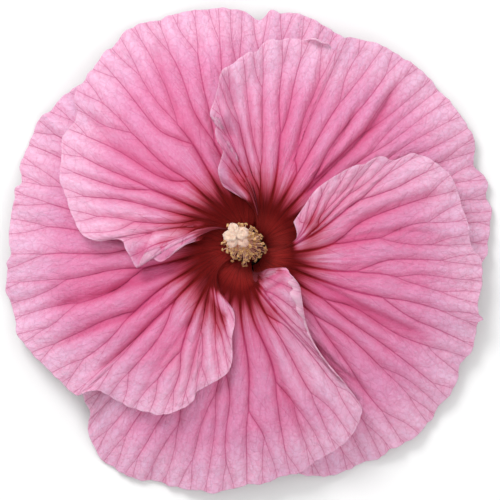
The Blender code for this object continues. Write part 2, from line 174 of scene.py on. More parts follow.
PETALS = (
    Petal(
        name="petal_upper_left", bearing=127, claw=(-58, 10), phase=0.0,
        margin=(
            (4.6, 14.3), (11, 24), (20, 33), (31, 46), (40, 61), (45, 75), (43, 84.5), (37.5, 90.5),
            (29, 96), (20.6, 99), (13.3, 99), (8.7, 100.3), (5.5, 96.4), (2.4, 96.4), (-3, 99),
            (-12, 99.2), (-22, 99.3), (-31.5, 98.2), (-40.8, 95.2), (-51.3, 89.7), (-57, 83.5),
            (-62, 77.5), (-69, 67), (-71.5, 60), (-71.5, 54), (-76.5, 46), (-76.5, 38), (-75.5, 28),
            (-72, 18.5), (-69, 11), (-66, 6), (-60, 3.3), (-51, 3.8), (-47.5, -2), (-44, -7.5),
            (-41, -1.5), (-35, -5), (-28.5, 0.5), (-24, 2.6), (-20.2, 3.6),
        ),
        creases=(
            (((-39, 8), (-43.5, -6)), 1.4, 1.6),
            (((-22, 22), (-58, 44), (-66, 58)), 1.2, 3.0),
            (((-16, 30), (-34, 66), (-40, 90)), 1.0, 3.0),
        ),
        lifts=((-52, 8, 10, 2.0), (-34, 0, 8, 2.2)),
        lips=((0.7, 0.99, 6, 2.2),),
        pale_edge=3.5, pale_from=20, eye_shift=-2.5, neck=19,
        flaps=((-43, -3, 6), (-34, -2, 5)),
    ),
    Petal(
        name="petal_left", bearing=199, claw=(-68, 6), phase=1.3,
        margin=(
            (-9.8, 11.3), (-15.5, 16.5), (-22, 23), (-29, 34), (-36, 46), (-43, 58), (-52, 67),
            (-64, 71.5), (-72.5, 69), (-79.5, 63.4), (-83.2, 58.2), (-89, 53.8), (-93, 46.2),
            (-96, 38.8), (-96.5, 33.5), (-95.5, 27.3), (-97.6, 25.4), (-97.8, 19.3), (-100, 10),
            (-99.2, 3), (-98.5, -2), (-100.5, -6), (-101, -12), (-100.5, -20.5), (-96.2, -33.5),
            (-93, -37.8), (-88, -43.6), (-83.8, -47.2), (-79.8, -51.6), (-74.5, -57), (-69.5, -59),
            (-66, -56.8), (-62.5, -55.8), (-59, -58), (-54.5, -61.2), (-47, -64.2), (-40.5, -65.4),
            (-33.5, -65.6), (-26.5, -62.9), (-22.5, -60), (-21, -56.4), (-14.3, -52.8), (-9, -48.6),
            (-7.1, -43.5), (-7.3, -35.5), (-6.2, -29.3), (-7, -24.5), (-10, -22.4),
        ),
        creases=(
            (((-20, -5), (-56, -17), (-86, -25)), 2.8, 3.6),
            (((-30, -15), (-48, -26.5), (-66, -34), (-86, -43)), 2.2, 2.2),
            (((-27, -19), (-37, -27.5), (-51.5, -41), (-66, -53)), 2.2, 1.7),
            (((-21, -25), (-29.5, -37), (-37, -47), (-45, -60)), 1.6, 1.5),
        ),
        lifts=((-64, -56, 6, 2.6),),
        curls=((0.712, 0.75, 2.0, 150),),
        lips=((0.86, 0.99, 4, 1.0),),
        pale_edge=2.5, pale_from=20, eye_shift=-3.0, neck=21,
    ),
    Petal(
        name="petal_bottom", bearing=271, claw=(-72, 3), phase=2.6,
        margin=(
            (-14.2, -5), (-18, -9.5), (-24, -15), (-36, -20.5), (-48, -27), (-60, -36), (-67, -45),
            (-71, -55), (-70, -63), (-66.5, -68), (-67.6, -72.5), (-67.6, -77), (-64, -84.6),
            (-60, -89.5), (-50, -94.5), (-39, -97.8), (-26.5, -99.7), (-14, -99), (-4, -98), (0, -96.4),
            (8, -95.5), (14, -92.8), (20, -91.5), (31, -84), (36.5, -79.2), (41.3, -73.6), (44, -67.5),
            (44.4, -63), (38.3, -54.4), (29.6, -44), (24.8, -36.5), (21.6, -28.4), (20.3, -20.5),
            (19.8, -15), (17.4, -11), (15.3, -8.3), (10.2, -11.6), (5, -12.8), (2.5, -14.2),
        ),
        creases=(
            (((4, -26), (12, -50), (22, -78)), 1.4, 2.6),
            (((14, -30), (20, -42), (28, -58)), 0.9, 1.8),
            (((4, -13.5), (9, -12.3), (15, -10)), 2.0, 1.5),
            (((5, -17), (10, -15.5), (16, -12)), 2.2, 1.5),
            (((7, -21), (10, -19), (14, -16)), 1.1, 1.5),
        ),
        lifts=((12, -12, 8, 4.0), (18, -20, 6, 1.5), (17, -30, 7, 1.2)),
        curls=((0.78, 0.9, 1.2, 185), (0.875, 0.95, 2.9, 190)),
        pale_edge=3.0, pale_from=14, eye_shift=2.5,
        pale_spots=((11, -15.5, 7.5), (17, -20, 7), (22, -32, 9)),
    ),
    Petal(
        name="petal_right", bearing=343, claw=(-64, 20), phase=3.9,
        margin=(
            (4.1, -14.4), (4, -22), (3, -32), (2.5, -44), (3, -58), (5, -72), (9, -84), (15, -91),
            (23.5, -95), (34.5, -95.3), (41.6, -92.8), (49.6, -89.8), (55.3, -86.6), (58, -82.6),
            (63.6, -81), (69, -77), (76, -70.5), (79, -65), (83.5, -59), (86.5, -53.5), (87, -48.5),
            (92, -41), (92.8, -35), (92.7, -30), (94.8, -28.4), (92.3, -26), (92.6, -22), (94.8, -16),
            (95, -10), (94.6, -4), (90.4, 1), (88.8, 5.5), (88.4, 10), (86.6, 15), (84.6, 21), (83, 25),
            (80, 29.4), (76.5, 32.6), (71.6, 35.7), (65, 38.4), (58, 35.7), (51.2, 36.8), (45, 33.6),
            (39, 32), (27, 24.5), (21.6, 17.3), (17.8, 11.3),
        ),
        creases=(
            (((20, -10), (50, -25), (78, -38)), 2.8, 2.4),
            (((24, -36), (36, -48), (50, -60)), 1.5, 1.6),
            (((26, 2), (60, 8), (84, 4)), 1.6, 2.4),
            (((34, 8), (62, 20), (80, 24)), 1.4, 2.6),
        ),
        lifts=((21, 12, 7, 1.5),),
        lips=((0.84, 0.99, 6, 1.4),),
        pale_edge=3.5, pale_from=16, eye_shift=1.5, neck=22,
    ),
    Petal(
        name="petal_upper_right", bearing=55, claw=(-54, 19), phase=5.2,
        margin=(
            (15, 0), (20, -4), (28, -8), (40, -13), (54, -17), (68, -18.5), (81, -17), (90, -13),
            (96, -6), (99.5, 0), (100.6, 9), (101.5, 17), (99.6, 22), (98.6, 30), (94, 35),
            (93.8, 41.7), (90.3, 50), (83, 60), (76.5, 69.5), (67, 76.5), (59.5, 81), (49.5, 85),
            (42, 86), (36.8, 84.6), (35.4, 82.6), (33.8, 80.2), (30.4, 81.6), (25.3, 82.6),
            (20.5, 83.6), (15, 84), (10.5, 82.4), (6.6, 82.2), (4.4, 80.5), (2.4, 77.8), (-2, 75.5),
            (-6, 72.5), (-11, 69), (-12.6, 62), (-14.6, 56), (-15.5, 51.5), (-12.4, 50.5), (-13.4, 46),
            (-12.8, 42), (-10.6, 38.5), (-11.4, 35), (-12.6, 31), (-11, 25.6), (-8, 23.5),
        ),
        creases=(
            (((20, 20), (29, 29), (43.5, 44), (54, 57.5), (63, 75)), 3.2, 1.9),
            (((24, 27), (29, 34), (38.5, 49), (45.5, 63)), 1.7, 1.2),
            (((10, 30), (14, 50), (16, 70)), 0.8, 2.2),
            (((12, 26), (22, 52), (30, 80)), 1.4, 2.6),
        ),
        lifts=(
            (-10.5, 53, 4.0, 3.0), (-9, 46, 2.8, -1.6), (-10, 40, 2.5, 1.4), (30, 77, 9, 2.0),
            (38, 5, 8, -1.8),
        ),
        curls=((0.682, 0.735, 2.2, 150),),
        lips=((0.68, 0.99, 10, 4.6),),
        pale_edge=2.0, pale_from=19, eye_shift=0.5, neck=18,
        flaps=((-11, 62, 7), (-9, 45, 9), (-8, 32, 9)),
    ),
)


# Small helpers.


def linear(code):
    """An sRGB hex colour as the linear RGBA that a shader socket takes."""
    channels = [int(code[i:i + 2], 16) / 255 for i in (1, 3, 5)]
    return (*(c / 12.92 if c <= 0.04045 else ((c + 0.055) / 1.055) ** 2.4 for c in channels), 1)


def smoothstep(value):
    """0 below 0, 1 above 1, and an even S between them."""
    value = np.clip(value, 0.0, 1.0)
    return value * value * (3 - 2 * value)


def polar(radius, bearing):
    """A level Vector of that length at a bearing in degrees."""
    angle = math.radians(bearing)
    return Vector((radius * math.cos(angle), radius * math.sin(angle), 0))


def smooth_curve(points, steps):
    """Points along a smooth curve through the given ones, with steps in each stretch."""
    points = np.array(points, float)
    padded = np.vstack([points[:1], points, points[-1:]])
    t = np.linspace(0, 1, steps, endpoint=False)[:, None]
    pieces = []
    for before, start, end, after in zip(padded, padded[1:], padded[2:], padded[3:]):
        pieces.append(start + 0.5 * t * ((end - before) + t * (
            (2 * before - 5 * start + 4 * end - after) + t * (3 * (start - end) + after - before))))
    return np.vstack([*pieces, points[-1:]])


def along_curve(curve, shares):
    """Points at the given shares of a curve's length."""
    steps = np.linalg.norm(np.diff(curve, axis=0), axis=1)
    places = np.concatenate([[0], np.cumsum(steps)])
    return np.stack([np.interp(shares * places[-1], places, curve[:, i])
                     for i in range(curve.shape[1])], axis=-1)


def node(tree, kind, inputs=None, **settings):
    """Adds a shader node, with its settings, and its sockets set to values or linked to sockets."""
    made = tree.nodes.new("ShaderNode" + kind)
    for name, value in settings.items():
        setattr(made, name, value)
    for key, value in (inputs or {}).items():
        if isinstance(value, bpy.types.NodeSocket):
            tree.links.new(value, made.inputs[key])
        else:
            made.inputs[key].default_value = value
    return made


def new_material(name):
    """A material with only a Principled shader and its output: (material, tree, shader)."""
    made = bpy.data.materials.new(name)
    made.use_nodes = True
    tree = made.node_tree
    return made, tree, tree.nodes["Principled BSDF"]


def finish_piece(name, mesh_data, materials):
    """Turns a bmesh in millimetres from the flower's axis into an object in metres."""
    bmesh.ops.translate(mesh_data, vec=AXIS, verts=mesh_data.verts)
    bmesh.ops.scale(mesh_data, vec=(MM, MM, MM), verts=mesh_data.verts)
    mesh = bpy.data.meshes.new(name)
    mesh_data.to_mesh(mesh)
    mesh_data.free()
    for finish in materials:
        mesh.materials.append(finish)
    mesh.shade_smooth()
    made = bpy.data.objects.new(name, mesh)
    bpy.context.collection.objects.link(made)
    return made


def thicken(piece, thickness, offset=0, lining=0):
    """Gives a sheet its thickness, with its second finish on the far side where lining is 1."""
    thick = piece.modifiers.new("Thickness", "SOLIDIFY")
    thick.thickness = thickness
    thick.offset = offset
    thick.material_offset = lining


def declare(piece, nodes):
    """Puts a piece on the root body, and hides the parts that it stands for."""
    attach(piece, "root")
    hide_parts(*nodes)


# Petals.


def dish_height(radius):
    """How high the dish is at a radius: steep in the throat, and drooping at the rim."""
    throat = THROAT_DEPTH * (1 - np.exp((CLAW_RADIUS - radius) / THROAT_OPENING))
    return CLAW_HEIGHT + throat - RIM_DROOP * (radius / FLOWER_RADIUS) ** 2


def dish_slope(radius):
    throat = THROAT_DEPTH / THROAT_OPENING * np.exp((CLAW_RADIUS - radius) / THROAT_OPENING)
    return throat - 2 * RIM_DROOP * radius / FLOWER_RADIUS**2


def stack_step(radius):
    """How far one petal lies above the next one, which it overlaps."""
    share = smoothstep((radius - STACK_START) / STACK_LENGTH)
    return THROAT_STACK + (RIM_STACK - THROAT_STACK) * share


def grow_veins(petal, sizes, laid, along):
    """The petal's veins laid out flat, each as (points, half_widths, strength, order).

    laid is the grid of points across and along the petal. A vein forks where its strip of the
    petal has grown too wide for it, and twigs leave it to both sides.
    """
    draw = random.Random(petal.name)
    columns = len(laid) - 1
    rows = len(along) - 1
    breadth = np.linalg.norm(np.diff(laid, axis=0), axis=-1).sum(axis=0)
    veins = []

    def place(across, up):
        column = np.clip(across, 0, 1) * columns
        row = np.interp(up, along, np.arange(rows + 1))
        c = np.minimum(column.astype(int), columns - 1)
        r = np.minimum(row.astype(int), rows - 1)
        a = (column - c)[:, None]
        b = (row - r)[:, None]
        low = laid[c, r] * (1 - a) + laid[c + 1, r] * a
        high = laid[c, r + 1] * (1 - a) + laid[c + 1, r + 1] * a
        return low * (1 - b) + high * b

    def draw_vein(across, up, order):
        widths = VEIN_WIDTHS[order] * (1 - 0.55 * up)
        veins.append((place(across, up), widths, VEIN_STRENGTHS[order], order))

    def crowded(room, tip):
        """Near the margin a vein forks in half the room."""
        return room * (1 - 0.5 * smoothstep((tip - 0.8) / 0.2))

    def grow(low, high, start, foot, order):
        """One vein up the strip between two shares of the breadth, its twigs and its forks."""
        middle = (low + high) / 2 + draw.uniform(-0.1, 0.1) * (high - low)
        room = sizes.vein_spacing * draw.uniform(0.7, 1.35)
        tip = foot + draw.uniform(0.09, 0.16)
        while tip < 1 and np.interp(tip, along, breadth) * (high - low) <= crowded(room, tip):
            tip += 0.01
        tip = min(tip, 1.0) if tip < 0.97 else 1.0
        up = np.linspace(foot, tip, max(4, round((tip - foot) / 0.02)))
        bend = 1 - (1 - np.clip((up - foot) / 0.17, 0, 1)) ** 2
        sway = 0.10 * (high - low) * np.sin(draw.uniform(8, 16) * (up - foot) + draw.uniform(-0.5, 0.5))
        across = start + (middle - start) * bend + sway * smoothstep((up - foot) / 0.1)
        draw_vein(across, up, min(order, TWIG_ORDER - 1))
        side = draw.choice((-1, 1))
        twig_foot = max(foot + 0.04, 0.38) + draw.uniform(0, 0.05)
        while twig_foot < min(tip, 0.985):
            reach = draw.uniform(0.05, 0.10)
            twig_up = np.linspace(twig_foot, min(twig_foot + reach, 1), 6)
            run = np.linspace(0, 1, 6)
            spread = side * (high - low) * draw.uniform(0.35, 0.6)
            twig = np.interp(twig_foot, up, across) + spread * (run - 0.25 * run**2)
            draw_vein(twig, twig_up, TWIG_ORDER)
            side = -side
            twig_foot += draw.uniform(0.035, 0.085)
        if tip < 1:
            split = low + (high - low) * draw.uniform(0.34, 0.66)
            grow(low, split, across[-1], tip, order + 1)
            grow(split, high, across[-1], tip, order + 1)

    shares = [(k + draw.uniform(-0.22, 0.22)) / sizes.main_veins for k in range(1, sizes.main_veins)]
    bounds = [0.0, *shares, 1.0]
    for low, high in zip(bounds, bounds[1:]):
        grow(low, high, (low + high) / 2, 0.0, 0)
    return veins


def finder(places):
    """A function that gives the indices of the places inside a box."""
    order = np.argsort(places[:, 0])
    ranked = places[order, 0]

    def inside(low, high):
        near = order[np.searchsorted(ranked, low[0]):np.searchsorted(ranked, high[0])]
        return near[(places[near, 1] > low[1]) & (places[near, 1] < high[1])]

    return inside


def line_distance(places, lines, reach):
    """The distance from each place to the nearest of the lines, in millimetres, up to reach."""
    found = np.full(len(places), reach)
    inside = finder(places)
    for points in lines:
        for a, b in zip(points, points[1:]):
            near = inside(np.minimum(a, b) - reach, np.maximum(a, b) + reach)
            run = b - a
            offset = places[near] - a
            t = np.clip(offset @ run / max(run @ run, 1e-9), 0, 1)
            found[near] = np.minimum(found[near], np.linalg.norm(offset - t[:, None] * run, axis=1))
    return found


def vein_slots(corners, veins):
    """Each face's nearest veins, as (signed distances over half-widths at its corners, strengths).

    A signed distance runs straight through zero inside a face, so that a thin vein stays sharp.
    """
    centres = corners.mean(axis=1)
    inside = finder(centres)
    near = np.full((VEIN_SLOTS, len(corners)), 1e3)
    signed = np.full((VEIN_SLOTS, len(corners), 4), 1e3)
    strengths = np.zeros((VEIN_SLOTS, len(corners)))
    for points, widths, strength, _ in veins:
        for a, b, width in zip(points, points[1:], widths):
            length = max(float(np.linalg.norm(b - a)), 1e-6)
            run = (b - a) / length
            faces = inside(np.minimum(a, b) - VEIN_REACH, np.maximum(a, b) + VEIN_REACH)
            place = (centres[faces] - a) @ run
            faces = faces[(place > -VEIN_OVERRUN) & (place < length + VEIN_OVERRUN)]
            offset = corners[faces] - a
            side = offset[..., 0] * run[1] - offset[..., 1] * run[0]
            far = np.abs(side.mean(axis=1))
            values, power = side / width, np.full(len(faces), strength)
            for slot in range(VEIN_SLOTS):
                closer = far < near[slot, faces]
                spot = faces[closer]
                for store, held in ((near, far), (signed, values), (strengths, power)):
                    held[closer], store[slot, spot] = store[slot, spot], held[closer].copy()
    return np.moveaxis(signed, 0, -1), strengths.T


def waves(across, phase, pairs):
    """The sum of sine waves, each given as (count, size)."""
    return sum(size * np.sin(count * across + 2.3 * phase * i + phase)
               for i, (count, size) in enumerate(pairs, 1))


def crumples(across, along, phase):
    """Small uneven swellings between -1 and 1, at two sizes."""
    flat = [noise.noise(Vector((a, b, phase))) + 0.6 * noise.noise(Vector((2.7 * a, 2.1 * b, phase + 9)))
            for a, b in zip(across.ravel(), along.ravel())]
    return np.array(flat).reshape(across.shape)


def crease_depth(x, y, points, depth, width):
    """The depth of a valley along a smooth line, which fades at both of its ends.

    Its left side is steep and its right side gentle, as where a fold leans over.
    """
    line = smooth_curve(points, 10)
    shares = np.linspace(0, 1, len(line))
    nearest = np.full(x.shape, 1e9)
    place = np.zeros(x.shape)
    side = np.zeros(x.shape)
    for (ax, ay), (bx, by), share in zip(line, line[1:], shares):
        dx, dy = bx - ax, by - ay
        t = np.clip(((x - ax) * dx + (y - ay) * dy) / (dx * dx + dy * dy), 0, 1)
        distance = np.hypot(x - ax - t * dx, y - ay - t * dy)
        closer = distance < nearest
        nearest = np.where(closer, distance, nearest)
        place = np.where(closer, share + t / (len(line) - 1), place)
        side = np.where(closer, dx * (y - ay) - dy * (x - ax), side)
    fade = smoothstep(place / 0.2) * smoothstep((1 - place) / 0.3)
    reach = width * np.where(side > 0, 0.55, 1.7)
    return depth * fade * np.exp(-(nearest / reach) ** 1.4)


def frilled_margin(petal, sizes, across):
    """Points on the petal's margin at the shares across it, with its small waves."""
    rim = along_curve(smooth_curve(petal.margin, 20), across)
    radius = np.linalg.norm(rim, axis=-1)
    frill = waves(across * WAVE_TURN, petal.phase, ((19, 0.30), (33, 0.28), (57, 0.22), (83, 0.14)))
    frill *= sizes.frill * smoothstep((radius - 18) / 30)
    return rim * (1 + frill / np.maximum(radius, 1))[:, None]


def lay_flat(petal, rim, across, along):
    """The petal laid out flat, and how far each of its places is from the margin.

    Each line up the petal leaves the claw straight outwards, turns in the throat and ends at
    the margin. Its places are evenly spaced on the dish.
    """
    bearing = np.radians(petal.bearing + petal.claw[0] + across * (petal.claw[1] - petal.claw[0]))
    ray = np.stack([np.cos(bearing), np.sin(bearing)], axis=-1)
    neck = THROAT_TURN_RADIUS + (petal.neck - THROAT_TURN_RADIUS) * smoothstep((across - 0.78) / 0.14)
    root = CLAW_RADIUS * ray
    turn = neck[:, None] * ray

    def flat_at(t):
        w0, w1, w2 = (1 - t) ** 2, 2 * THROAT_TURN_WEIGHT * t * (1 - t), t**2
        total = (w0 + w1 + w2)[..., None]
        return (w0[..., None] * root[:, None] + w1[..., None] * turn[:, None]
                + w2[..., None] * rim[:, None]) / total

    coarse = np.linspace(0, 1, 90)
    flat = flat_at(np.broadcast_to(coarse, (len(across), 90)))
    high = dish_height(np.linalg.norm(flat, axis=-1))
    steps = np.hypot(np.linalg.norm(np.diff(flat, axis=1), axis=-1), np.diff(high, axis=1))
    lengths = np.concatenate([np.zeros((len(across), 1)), np.cumsum(steps, axis=1)], axis=1)
    t = np.stack([np.interp(along * row[-1], row, coarse) for row in lengths])
    return flat_at(t), (1 - along)[None, :] * lengths[:, -1:]


def roll_edges(petal, across, laid, left):
    """Where the laid out places go, and how high, where the edge rolls over upwards.

    left is how far a place is from the margin, and the roll starts at its own width from it.
    """
    roll = np.zeros(laid.shape[:2])
    full_turn = np.zeros(laid.shape[:2])
    for start, end, radius, angle in petal.curls:
        window = smoothstep((across - start) / 0.02) * smoothstep((end - across) / 0.02)
        wavy = 1 + 0.2 * waves(across * WAVE_TURN, petal.phase, ((37, 0.7), (61, 0.6)))
        roll = np.maximum(roll, (radius * wavy * window)[:, None])
        full_turn = np.maximum(full_turn, (math.radians(angle) * window)[:, None])
    rolled = np.clip(1 - left / np.maximum(roll, 1e-6), 0, 1) * (roll > 0.05)
    outwards = np.gradient(laid, axis=1)
    outwards /= np.linalg.norm(outwards, axis=-1, keepdims=True) + 1e-9
    angle = rolled * full_turn
    return laid + outwards * (roll * (np.sin(angle) - rolled))[..., None], roll * (1 - np.cos(angle))


def fold_heights(petal, x, y, u, radius, edge):
    """The height of the petal's own creases, swellings and lips, and the painted shade in its creases."""
    folds = np.zeros(x.shape)
    crease_shade = np.zeros(x.shape)
    for points, depth, width in petal.creases:
        valley = crease_depth(x, y, points, depth, width)
        folds -= valley
        # Painted shade: the deeper a crease, the more its valley is painted the deep pink fold colour.
        crease_shade = np.maximum(crease_shade, valley / FULL_SHADE_DEPTH)
    for cx, cy, size, height in petal.lifts:
        folds += height * np.exp(-((x - cx) ** 2 + (y - cy) ** 2) / size**2)
    for start, end, width, height in petal.lips:
        window = smoothstep((u - start) / 0.08) * smoothstep((end - u) / 0.02)
        wavy = 1 + 0.35 * waves(u * WAVE_TURN, petal.phase, ((9, 0.6), (23, 0.5)))
        off_throat = smoothstep((radius - 12) / 16)
        folds += height * window * wavy * (1 - smoothstep(edge / width)) * off_throat
    return folds, np.minimum(crease_shade, 1)


def spot_share(laid, spots):
    """1 inside each (x, y, radius) spot, and 0 away from them all."""
    share = np.zeros(laid.shape[:2])
    for x, y, size in spots:
        away = np.hypot(laid[..., 0] - x, laid[..., 1] - y)
        share = np.maximum(share, np.exp(-(away / size) ** 4))
    return share


def petal_surface(petal, sizes, across, along):
    """The petal's middle surface at 1-D arrays of shares across and along it.

    Gives the points, the same points laid out flat and the veins, and for the shader two
    triples: the reach from the axis that sets the eye's colour, the distance to the margin and
    that to a vein, and then the shares of painted shade on a flap and in a crease, with a spare 0.
    """
    rim = frilled_margin(petal, sizes, across)
    laid, left = lay_flat(petal, rim, across, along)
    flat, roll_height = roll_edges(petal, across, laid, left)
    x, y = flat[..., 0], flat[..., 1]
    radius = np.hypot(x, y)
    off_middle = (np.degrees(np.arctan2(y, x)) - petal.bearing + 180) % 360 - 180
    u, v = np.meshgrid(across, along, indexing="ij")

    veins = grow_veins(petal, sizes, laid, along)
    lines = [points for points, _, _, _ in veins]
    forks = [points for points, _, _, order in veins if order < TWIG_ORDER]
    margin = [rim[::3], laid[-1, ::3]]
    places = laid.reshape(-1, 2)
    to_vein = line_distance(places, forks, VEIN_SIGHT).reshape(x.shape)
    to_twig = line_distance(places, lines, TWIG_SIGHT).reshape(x.shape)
    edge = line_distance(places, margin, EDGE_SIGHT).reshape(x.shape)

    # Pleats: valleys at the veins, and full ridges between them, which flatten at the margin.
    # The clockwise side is flatter, because the next petal covers it.
    covered = 0.35 + 0.65 * smoothstep((u - 0.12) / 0.22)
    inner = smoothstep((radius - 15) / 16)
    outer = 1 - 0.55 * smoothstep((radius - 55) / 40)
    broad = 1 - np.exp(-(to_vein / sizes.pleat_width) ** 1.25)
    fine = 1 - np.exp(-(to_twig / 0.8) ** 2)
    unevenness = 0.9 + 0.5 * waves(u * 27, petal.phase, ((1.0, 0.6), (0.43, 0.7))) * (0.5 + 0.5 * v)
    pleats = sizes.pleat_depth * covered * inner * outer * unevenness * (broad - 0.6)
    pleats *= 0.35 + 0.65 * smoothstep(edge / 13)
    pleats += 0.22 * smoothstep((radius - 25) / 25) * fine
    crumple = crumples(u * 38, v * 13, petal.phase) * smoothstep((radius - 20) / 25)
    ruffle = sizes.ruffle * smoothstep((radius - 45) / 50) * v**3 * (
        waves(u * WAVE_TURN, petal.phase, ((5.4, 0.8), (9.7, 0.6), (17.3, 0.35), (31.0, 0.18))))
    folds, crease_shade = fold_heights(petal, x, y, u, radius, edge)
    lift = stack_step(radius) * off_middle / PETAL_PITCH + pleats + ruffle + folds + roll_height
    lift = lift + sizes.crumple * covered * crumple

    slope = dish_slope(radius)
    normal = np.stack([-slope * x / radius, -slope * y / radius, np.ones(x.shape)], axis=-1)
    normal /= np.linalg.norm(normal, axis=-1, keepdims=True)
    points = np.stack([x, y, dish_height(radius)], axis=-1) + lift[..., None] * normal
    # A petal that would sink into the floor lies on it instead.
    lowest = sizes.thickness / MM - AXIS.z
    points[..., 2] = lowest + 0.4 * np.logaddexp(0, (points[..., 2] - lowest) / 0.4)

    pale = np.exp(-(edge / petal.pale_edge) ** 2) * smoothstep((u - 0.55) / 0.2)
    pale *= smoothstep((radius - petal.pale_from) / 5)
    pale = np.maximum(pale, spot_share(laid, petal.pale_spots))
    reach = radius + petal.eye_shift * smoothstep((radius - 16) / 8) + 24 * pale
    # Painted shade for the shader: mauve on the flaps that stand up, and deeper pink in the creases.
    tints = np.stack([spot_share(laid, petal.flaps), crease_shade, np.zeros(x.shape)], axis=-1)
    return points, laid, veins, np.stack([reach, edge, to_vein], axis=-1), tints


def make_petal(petal, sizes, finishes):
    """One petal, with what its finishes read stored on its corners and points."""
    sheet = bmesh.new()
    rows, columns = sizes.along_count, sizes.across_count
    bmesh.ops.create_grid(sheet, x_segments=columns, y_segments=rows, size=0.5)
    sheet.verts.ensure_lookup_table()
    grid = np.array([vertex.co[:2] for vertex in sheet.verts]) + 0.5
    column = np.rint(grid[:, 0] * columns).astype(int)
    row = np.rint(grid[:, 1] * rows).astype(int)
    across = np.linspace(0, 1, columns + 1)
    along = 1 - (1 - np.linspace(0, 1, rows + 1)) ** 1.12
    points, laid, veins, place, tints = petal_surface(petal, sizes, across, along)
    for vertex, spot in zip(sheet.verts, points[column, row]):
        vertex.co = spot
    bmesh.ops.reverse_faces(sheet, faces=sheet.faces)
    made = finish_piece(petal.name, sheet, finishes)
    mesh = made.data
    for name, values in (("place", place), ("tints", tints)):
        layer = mesh.attributes.new(name, "FLOAT_VECTOR", "POINT")
        layer.data.foreach_set("vector", values[column, row].astype(np.float32).ravel())
    corner = np.empty(len(mesh.loops), np.int32)
    mesh.loops.foreach_get("vertex_index", corner)
    signed, strengths = vein_slots(laid[column, row][corner].reshape(-1, 4, 2), veins)
    for name, values in (("vein_sides", signed), ("vein_strengths", np.repeat(strengths, 4, axis=0))):
        layer = mesh.attributes.new(name, "FLOAT_COLOR", "CORNER")
        layer.data.foreach_set("color", values.astype(np.float32).ravel())
    shares = mesh.uv_layers.new(name="Shares")
    flat = np.stack([across[column], along[row]], axis=-1)[corner]
    shares.data.foreach_set("uv", flat.astype(np.float32).ravel())
    thicken(made, sizes.thickness, lining=1)
    declare(made, [petal.name])


